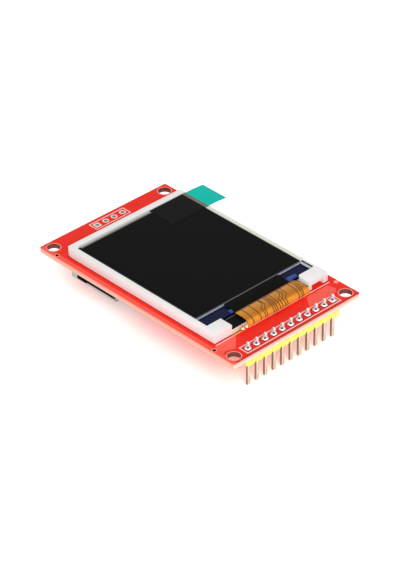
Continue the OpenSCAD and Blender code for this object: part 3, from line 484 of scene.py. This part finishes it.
# Round each pad the mask dips into the gap between the pad and the copper about it.
gaps = bmesh.new()
gap_start, gap_end = pad_radius / MM + 0.02, pad_radius / MM + 0.24
for low, high in pin_boxes:
    ring(gaps, (low.x + high.x) / 2 / MM, row_y / MM, gap_start, gap_end, sunk, ring_top, 32)
dipped_mask, tree, where, surface = start_finish("mask_in_a_gap", 0.4, specular=0.08)
give(tree, surface, between(tree, clouds(tree, where, 0.6), "6A0C0A", "B41A14"))
place(gaps, "pad_gaps", dipped_mask)


# Backlight frame: one white polycarbonate moulding with a shelf, a well and two lugs.
# It is stuck to the board, and its sides are drafted and polished.
white_frame = moulded("moulded_white_polycarbonate", "EFEDEB", "F9F7F5", 0.42, 0.3, 0.003)
case = welded("lcd_frame")
ease(case, 0.14, steps=3, sharp=30)
place(case, "backlight_frame", white_frame, ["lcd_frame"])

# A dark strip of painted shadow fills the gap between the frame's foot and the board. It is dark
# red-brown: shade with a little red from the mask.
frame_low, frame_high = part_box("lcd_frame")
foot_shadow_finish = moulded("painted_gap_shadow", "2A0806", "400E0A", 0.8, 0.1, 0.01, 0.05)
foot_shadow = bmesh.new()
shadow_inset, shadow_w, left_lug_w, shadow_play = 0.04, 0.8, 4.9, 0.002
x0, x1 = frame_low.x / MM + shadow_inset, frame_high.x / MM - shadow_inset
y0, y1 = frame_low.y / MM + shadow_inset, frame_high.y / MM - shadow_inset
for corners in (box_corners(x0, y0, x0 + shadow_w, y1), box_corners(x1 - shadow_w, y0, x1, y1),
                box_corners(x0 + shadow_w, y0, x0 + left_lug_w, y0 + shadow_w),
                box_corners(x0 + shadow_w, y1 - shadow_w, x1 - shadow_w, y1)):
    plate(foot_shadow, corners, deck_mm + shadow_play, frame_low.z / MM - shadow_play)
bmesh.ops.recalc_face_normals(foot_shadow, faces=foot_shadow.faces)
place(foot_shadow, "frame_foot_shadow", foot_shadow_finish)

# Inside the frame: films, an acrylic plate and lamps, each cut or moulded and laid in turn.
white_film = moulded("matt_white_film", "F2F2F0", "FBFBF9", 0.6, 0.4, 0.002)
coat(white_film, "reflector", "diffuser")
acrylic, tree, where, surface = start_finish("cast_acrylic", 0.08)
surface.inputs["Transmission Weight"].default_value = 0.85
surface.inputs["IOR"].default_value = 1.49
give(tree, surface, between(tree, clouds(tree, where, 3.0), "E6F2F4", "F2FAFA"))
coat(acrylic, "light_guide")
prism, tree, where, surface = start_finish("ridged_prism_film", 0.2)
ridges = put(tree, "TexWave", {"Vector": where, "Scale": ripple / 0.25}, bands_direction="Y",
             wave_profile="TRI")
give(tree, surface, between(tree, clouds(tree, where, 2.0), "DDE3E3", "EEF2F2"),
     ridges.outputs[1], 0.05)
coat(prism, "prism_film")
phosphor = moulded("cast_phosphor_resin", "EFE59A", "F7F0C0", 0.4, 0.2, 0.004)
coat(phosphor, "lamps")
foam = moulded("double_sided_foam_tape", "CFC9B4", "E0DBC8", 0.85, 0.12, 0.02)
coat(foam, "mounting_tape")


# Glass: two plates 0.45 mm thick, scribed and broken to size. The lower one is longer and its
# ledge carries fine leads; the upper one has a black matrix and a dark polariser on top.
ledge_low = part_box("tft_glass")[0]
glass_low, glass_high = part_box("filter_glass")
ledge_glass, tree, where, surface = start_finish("leaded_ledge_glass", 0.15, specular=0.06)
lead_pitch = 0.28  # the real leads are 0.05 mm apart, too fine to show
leads = put(tree, "TexWave", {"Vector": where, "Scale": ripple / lead_pitch, "Distortion": 0.5},
            bands_direction="X")
give(tree, surface, between(tree, leads.outputs[1], "04071C", "0C1646"))

# Scribed glass breaks to a frosted face, dark behind the chip's tape and pale beside it.
ground_edge, tree, where, surface = start_finish("scribed_glass_edge", 0.4, specular=0.4)
taped_low, taped_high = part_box("chip_tape")
axes = put(tree, "SeparateXYZ", {0: where}).outputs
left_bare = ramp(tree, axes["X"], taped_low.x / MM + 0.3, taped_low.x / MM)
right_bare = ramp(tree, axes["X"], taped_high.x / MM - 0.3, taped_high.x / MM)
bare = put(tree, "Math", {0: left_bare, 1: right_bare}, operation="ADD").outputs[0]
scribed = between(tree, clouds(tree, where, 1.5), "8E8E9C", "C4C4D8")
give(tree, surface, between(tree, bare, "1A1A18", scribed))

lower = welded("tft_glass")
ease(lower, 0.03, steps=1)
place(lower, "lower_glass", ledge_glass, ["tft_glass"])

# Dark glass over the black matrix: polished, and nearly black from any side. It is dark grey in a
# narrow margin along its left edge and lighter grey along its near edge.
dark_glass, tree, where, surface = start_finish("black_matrix_glass", 0.08, specular=0.03)
axes = put(tree, "SeparateXYZ", {0: where}).outputs
margin_x, margin_y = glass_low.x / MM + 0.7, glass_low.y / MM + 0.5
matrix = between(tree, ramp(tree, axes["X"], margin_x + 0.05, margin_x - 0.05),
                 "08080A", "2E2E2E")
give(tree, surface, between(tree, ramp(tree, axes["Y"], margin_y + 0.05, margin_y - 0.05),
                            matrix, "66666A"))
upper = welded("filter_glass")
ease(upper, 0.04, steps=1)
# Only the near edge, behind the ledge, is left frosted
for face in upper.faces:
    face.material_index = 1 if face.normal.y < -0.5 else 0
place(upper, "upper_glass", [dark_glass, ground_edge], ["filter_glass"])

# Polarising film is smooth stretched plastic, black over the unlit screen.
polariser, tree, where, surface = start_finish("dark_polarising_film", 0.12, specular=0.03)
give(tree, surface, between(tree, clouds(tree, where, 8.0), "060606", "0A0A09"))
coat(polariser, "rear_polariser")
screen = welded("front_polariser")
ease(screen, 0.04, steps=1)
place(screen, "screen_polariser", polariser, ["front_polariser"])


# Protective film: clear polyester with a soft adhesive, laid over the screen a little askew,
# so it runs over the frame on the right. Its cut edge shows as a grey line.
film_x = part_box("protective_film")[0].x / MM
rim_x, far_y = glass_high.x / MM, glass_high.y / MM
clear_film, tree, where, surface = start_finish("clear_polyester_film", 0.1, specular=0.03)
axes = put(tree, "SeparateXYZ", {0: where}).outputs
on_rim = ramp(tree, axes["X"], rim_x - 0.15, rim_x + 0.1)
at_far = ramp(tree, axes["Y"], far_y - 1.0, far_y + 0.1)
tint = between(tree, on_rim, "050505", "F6F6E2")
give(tree, surface, between(tree, at_far, tint, "F0F0EC"))
veils = put(tree, "Math", {0: ramp(tree, on_rim, 0, 1, 1.0, 0.3),
                           1: ramp(tree, at_far, 0, 1, 1.0, 0.5)}, operation="MINIMUM")
tree.links.new(veils.outputs[0], surface.inputs["Alpha"])

# The edge of the film is a narrow cut face: it shines along the left side and on the rim.
film_edge, tree, where, surface = start_finish("film_cut_edge", 0.5, specular=0.2)
axes = put(tree, "SeparateXYZ", {0: where}).outputs
lit_left = between(tree, ramp(tree, axes["X"], film_x + 0.2, film_x + 0.15),
                   "080808", "A0A09E")
give(tree, surface, between(tree, ramp(tree, axes["X"], rim_x - 0.15, rim_x + 0.1),
                            lit_left, "CFD1C2"))


def film_sheet(name, node, finishes, border):
    """A thin film for a flat solid, with a border in millimetres in its second finish."""
    low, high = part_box(node)
    shape = bmesh.new()
    top = high.z / MM
    corners = box_corners(low.x / MM, low.y / MM, high.x / MM, high.y / MM)
    face = shape.faces.new([shape.verts.new(Vector((x, y, top)) * MM) for x, y in corners])
    face.normal_update()
    inset = bmesh.ops.inset_region(shape, faces=[face], thickness=border * MM)
    for strip in inset["faces"]:
        strip.material_index = 1
    bmesh.ops.solidify(shape, geom=shape.faces[:], thickness=(top - low.z / MM) * MM)
    place(shape, name, finishes, [node])


film_sheet("screen_film", "protective_film", [clear_film, film_edge], 0.2)


# Pull tab: a strip of teal polyester, stuck to the film with a clear tape, that lifts the film
# off. Its free end hangs past the frame and bends down a little.
tape_clear, tree, where, surface = start_finish("clear_tape", 0.15, specular=0.04)
axes = put(tree, "SeparateXYZ", {0: where}).outputs
on_rim = ramp(tree, axes["X"], rim_x - 0.1, rim_x + 0.1)
give(tree, surface, between(tree, on_rim, "070707", "8A867A"))
tree.links.new(ramp(tree, on_rim, 0, 1, 1.0, 0.6), surface.inputs["Alpha"])
tape_edge, tree, where, surface = start_finish("clear_tape_edge", 0.4, specular=0.2)
axes = put(tree, "SeparateXYZ", {0: where}).outputs
line = between(tree, clouds(tree, where, 1.5), "505050", "7A7A78")
give(tree, surface, between(tree, ramp(tree, axes["X"], rim_x - 0.1, rim_x + 0.1), line,
                            "B4B0A4"))
film_sheet("clear_tab_tape", "tab_tape", [tape_clear, tape_edge], 0.16)

teal = moulded("teal_polyester_film", "00BBA9", "02CDBB", 0.35, 0.8, 0.004, specular=0.05)
tab = welded("pull_tab")
ease(tab, 0.02, steps=1, sharp=60)
place(tab, "teal_tab", teal, ["pull_tab"])


# Driver chip, black tapes and sealant: the bare chip sits on the ledge under light-tight
# polyester tape, another tape closes the lamp bay, and blue resin covers the bare leads.
silicon = moulded("sawn_silicon", "3A3A3E", "4A4A50", 0.2, 0.5, 0.001)
coat(silicon, "driver_chip")
black_tape = moulded("black_polyester_tape", "0B0C0A", "11120F", 0.5, 0.3, 0.006, specular=0.03)
coat(black_tape, "window_tape")
cover = welded("chip_tape")
ease(cover, 0.02, steps=1, sharp=50)
place(cover, "chip_cover_tape", black_tape, ["chip_tape"])
bar_cover = welded("bar_tape")
ease(bar_cover, 0.02, steps=1, sharp=50)
place(bar_cover, "bar_cover_tape", black_tape, ["bar_tape"])

# At the right a thin dark blue patch lies on the rim, beside the ledge.
blue_rim_patch = moulded("dark_blue_rim_patch", "0A1034", "1C2856", 0.4, 0.4, 0.004, specular=0.1)
rim_top, rim_patch_t = frame_high.z / MM, 0.03
rim_patch_x0, rim_patch_x1 = frame_high.x / MM - 1.25, frame_high.x / MM - 0.75
rim_patch_y0, rim_patch_y1 = ledge_low.y / MM - 0.2, glass_low.y / MM + 0.05
rim_patch = plate(bmesh.new(), box_corners(rim_patch_x0, rim_patch_y0, rim_patch_x1, rim_patch_y1),
                 rim_top, rim_top + rim_patch_t)
settle(rim_patch)
ease(rim_patch, 0.01, steps=1)
place(rim_patch, "rim_patch", blue_rim_patch)

# The sealant is brushed on as a liquid and cures to glossy rounded beads.
sealant = moulded("cured_blue_resin", "0C2C74", "2450A8", 0.18, 0.6, 0.03, specular=0.3)
beads = welded("edge_sealant")
ease(beads, 0.12, steps=2, sharp=60)
place(beads, "sealant_beads", sealant, ["edge_sealant"])


# Flex cable: polyimide film 0.1 mm thick with etched copper inside, bonded to the ledge,
# folded round the bar and soldered to the board behind the backlight.
flex_low, flex_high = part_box("main_flex")
flex_t, bond_l, flat_run, turn_r = 0.1, 1.4, 1.95, 0.65
bar_face = frame_low.y / MM
bond_y = ledge_low.y / MM + bond_l
run_y = bar_face + flat_run
nose_y = flex_low.y / MM + flex_t / 2
top_z = flex_high.z / MM - flex_t / 2
tail_z = flex_low.z / MM + flex_t / 2
tail_y = flex_high.y / MM
turn_z = tail_z + turn_r


def bulge(t):
    """Point on the fold's front, from the bar's top edge to its nose."""
    pull = [(run_y, top_z), (run_y + 0.7 * (nose_y - run_y), top_z),
            (nose_y, turn_z + 0.53 * (top_z - turn_z)), (nose_y, turn_z)]
    weights = [(1 - t) ** 3, 3 * t * (1 - t) ** 2, 3 * t * t * (1 - t), t ** 3]
    return Vector([sum(w * p[axis] for w, p in zip(weights, pull)) for axis in (0, 1)])


route = [Vector((bond_y, top_z))]
route += [bulge(k / 32) for k in range(33)]
for k in range(1, 17):
    angle = math.pi * (1 + k / 32)
    route.append(Vector((nose_y + turn_r + turn_r * math.cos(angle),
                         turn_z + turn_r * math.sin(angle))))
route.append(Vector((tail_y, tail_z)))
marks = [0.0]
for first, second in zip(route, route[1:]):
    marks.append(marks[-1] + (second - first).length)


def fold(shape):
    """Lays a flat shape, with its length along Y, on the flex's folded route."""
    for mark in marks[1:-1]:
        bmesh.ops.bisect_plane(shape, geom=shape.verts[:] + shape.edges[:] + shape.faces[:],
                               plane_co=(0, mark * MM, 0), plane_no=(0, 1, 0), dist=1e-8)
    for vert in shape.verts:
        mark = min(max(vert.co.y / MM, 0.0), marks[-1])
        k = min(next((i for i, m in enumerate(marks) if m > mark + 1e-4), len(marks)) - 1,
                len(route) - 2)
        k = max(k, 0)
        share = (mark - marks[k]) / (marks[k + 1] - marks[k])
        spot = route[k].lerp(route[k + 1], share)
        before, after = route[max(k - 1, 0)], route[min(k + 2, len(route) - 1)]
        way = ((route[k + 1] - before).normalized().lerp(
            (after - route[k]).normalized(), share)).normalized()
        out = Vector((way.y, -way.x)) * vert.co.z / MM
        vert.co = Vector((vert.co.x / MM, spot.x + out.x, spot.y + out.y)) * MM
    bmesh.ops.recalc_face_normals(shape, faces=shape.faces)
    return shape


def mark_at(test):
    """Length along the flex at the first point of its route that passes a test."""
    return next(m for m, p in zip(marks, route) if test(p))


# Polyimide is amber and clear, with a satin sheen and a few darker streaks. Painted light makes it
# paler, as a reflection, on its way to the glass and brightest round the fold, and a painted
# shadow makes it dark next to the chip's tape.
polyimide, tree, where, surface = start_finish("amber_polyimide", 0.33, specular=0.12)
streaks = put(tree, "Mapping", {"Vector": where, "Scale": (0.7, 0.12, 0.12)})
along = put(tree, "SeparateXYZ", {0: where}).outputs["Y"]
# Painted reflection towards the glass, painted light at the fold, painted shadow at the tape.
amber = between(tree, ramp(tree, along, bar_face + 0.65, bar_face + 2.75), "BE741A", "D49240")
amber = between(tree, ramp(tree, along, bar_face + 0.15, bar_face - 0.4), amber, "F09A30")
amber = between(tree, ramp(tree, along, bar_face + 2.95, bar_face + 3.55), amber, "4A3412")
streaky = ramp(tree, clouds(tree, streaks.outputs[0], 1.0, 3.0), 0.3, 0.7, 0.0, 0.16)
give(tree, surface, between(tree, streaky, amber, "8A4A0C"), clouds(tree, where, 0.8), 0.004)
copper_line, tree, where, surface = start_finish("copper_under_polyimide", 0.4, specular=0.3)
give(tree, surface, between(tree, clouds(tree, where, 0.6), "4A2606", "6E3E0C"))

flex_x0, bond_x1 = taped_low.x / MM, taped_high.x / MM
flex_x1 = flex_high.x / MM
root_x0 = flex_low.x / MM
root_w, root_h, ear_h, shoulder, flare_end = 2.05, 0.4, 1.3, 0.8, 0.3
ear_x0 = root_x0 + root_w
turn_end = nose_y + turn_r - 0.02  # the fold is behind this
glass_mark = bond_y - ledge_low.y / MM
flare_mark = mark_at(lambda p: p.x < run_y - flare_end)
ear_top = mark_at(lambda p: p.y < deck_mm + ear_h)
root_top = mark_at(lambda p: p.y < deck_mm + root_h)
ear_end = mark_at(lambda p: p.y < turn_z and p.x > turn_end)
outline = [(flex_x0, 0), (bond_x1, 0), (bond_x1, glass_mark), (bond_x1 + shoulder, glass_mark),
           (flex_x1, flare_mark), (flex_x1, marks[-1]), (flex_x0, marks[-1]),
           (flex_x0, ear_end), (root_x0, ear_end), (root_x0, root_top), (ear_x0, root_top),
           (ear_x0, ear_top), (flex_x0, ear_top)]
flex = plate(bmesh.new(), outline, -flex_t / 2, flex_t / 2)
settle(flex)
place(fold(flex), "folded_flex", polyimide, ["main_flex"])
coat(polyimide, "lamp_strip")

# Dark lines: their offsets from the flex's left edge near the glass and near the board, and
# for those that step aside on the way, how far along the flex the step begins.
line_runs = [(1.65, 1.4, None), (3.75, 3.6, None), (6.5, 4.85, 3.3), (6.8, 5.45, 3.8),
             (7.95, 7.3, None), (8.4, 7.95, None), (8.9, 8.5, None), (9.6, 9.3, None),
             (11.85, 10.0, 3.3), (12.4, 10.85, 3.6), (13.1, 11.5, 4.0), (15.5, 15.1, None),
             (16.55, 15.75, None), (17.2, 16.2, None)]
line_w = 0.24
line_sink, line_rise = 0.01, 0.012
half = line_w / 2
run_start, run_end = 1.0, ear_end
slant_start, slant_middle = 3.7, 5.1  # marks of the lines that only lean
step_points = ((0.35, 0.6), (0.85, 1.15))  # share of a step, and how far after its start
lines = bmesh.new()
for near_glass, near_board, step_start in line_runs:
    shift = near_board - near_glass
    points = [(near_glass, run_start), (near_glass, step_start or slant_start)]
    if step_start:
        points += [(near_glass + share * shift, step_start + past)
                   for share, past in step_points]
    else:
        points.append((near_glass + 0.5 * shift, slant_middle))
    points.append((near_board, run_end))
    corners = ([(flex_x0 + x - half, m) for x, m in points]
               + [(flex_x0 + x + half, m) for x, m in reversed(points)])
    plate(lines, corners, flex_t / 2 - line_sink, flex_t / 2 + line_rise)
settle(lines)
place(fold(lines), "flex_lines", copper_line)

# The ear carries two gold-flashed lands; small dark holes through the film lie beside them.
coat(rolled_gilt, "ear_solder")
coat(solder, "tail_solder")
ear_holes = bmesh.new()
half_hole, hole_t = 0.16, 0.01
hole_y = flex_low.y / MM - hole_t
# Distance from the ear's left side and height over the board
for across, up in ((0.427, 1.3), (1.027, 1.0), (0.627, 0.5), (2.127, 0.8)):
    x, z = ear_x0 + across, deck_mm + up
    corners = box_corners(x - half_hole, z - half_hole, x + half_hole, z + half_hole)
    ear_holes.faces.new([ear_holes.verts.new(Vector((px, hole_y, pz)) * MM)
                         for px, pz in corners])
bmesh.ops.recalc_face_normals(ear_holes, faces=ear_holes.faces)
bmesh.ops.solidify(ear_holes, geom=ear_holes.faces[:], thickness=hole_t * MM)
place(ear_holes, "ear_holes", copper_line)


# Card socket: a folded stainless steel shell over a black liquid-crystal polymer base, with
# eight gilt spring contacts, soldered to the back of the board.
steel, tree, where, surface = start_finish("rolled_stainless_steel", 0.3, metallic=1.0)
rolled = put(tree, "Mapping", {"Vector": where, "Scale": (0.4, 9.0, 9.0)})
give(tree, surface, between(tree, clouds(tree, rolled.outputs[0], 1.0), "B4B6B8", "D2D4D6"),
     clouds(tree, rolled.outputs[0], 0.7), 0.004)
shell = welded("socket_shell")
ease(shell, 0.05, steps=2, sharp=50)
place(shell, "socket_steel_shell", steel, ["socket_shell"])
black_plastic = moulded("moulded_black_polymer", "141414", "1E1E1F", 0.5, 0.2, 0.006, 0.4)
base = welded("socket_base")
ease(base, 0.04, steps=1, sharp=50)
place(base, "socket_black_base", black_plastic, ["socket_base"])
springs = welded("socket_contacts")
ease(springs, 0.015, steps=1, sharp=60)
place(springs, "socket_springs", rolled_gilt, ["socket_contacts"])


# Small parts on the back: a regulator and a transistor in moulded epoxy, and ceramic chip
# resistors and capacitors, all reflowed on their pads.
black_epoxy = moulded("moulded_black_epoxy", "161617", "222224", 0.55, 0.12, 0.008, 0.4)
for node, name in (("regulator", "regulator_body"), ("transistor", "transistor_body"),
                   ("resistors", "resistor_chips")):
    body = welded(node)
    ease(body, 0.05, steps=1, sharp=40)
    place(body, name, black_epoxy, [node])
fired_ceramic = moulded("fired_brown_ceramic", "A8835C", "C09A70", 0.6, 0.2, 0.008, 0.4)
stones = welded("capacitors")
ease(stones, 0.05, steps=1, sharp=40)
place(stones, "capacitor_chips", fired_ceramic, ["capacitors"])
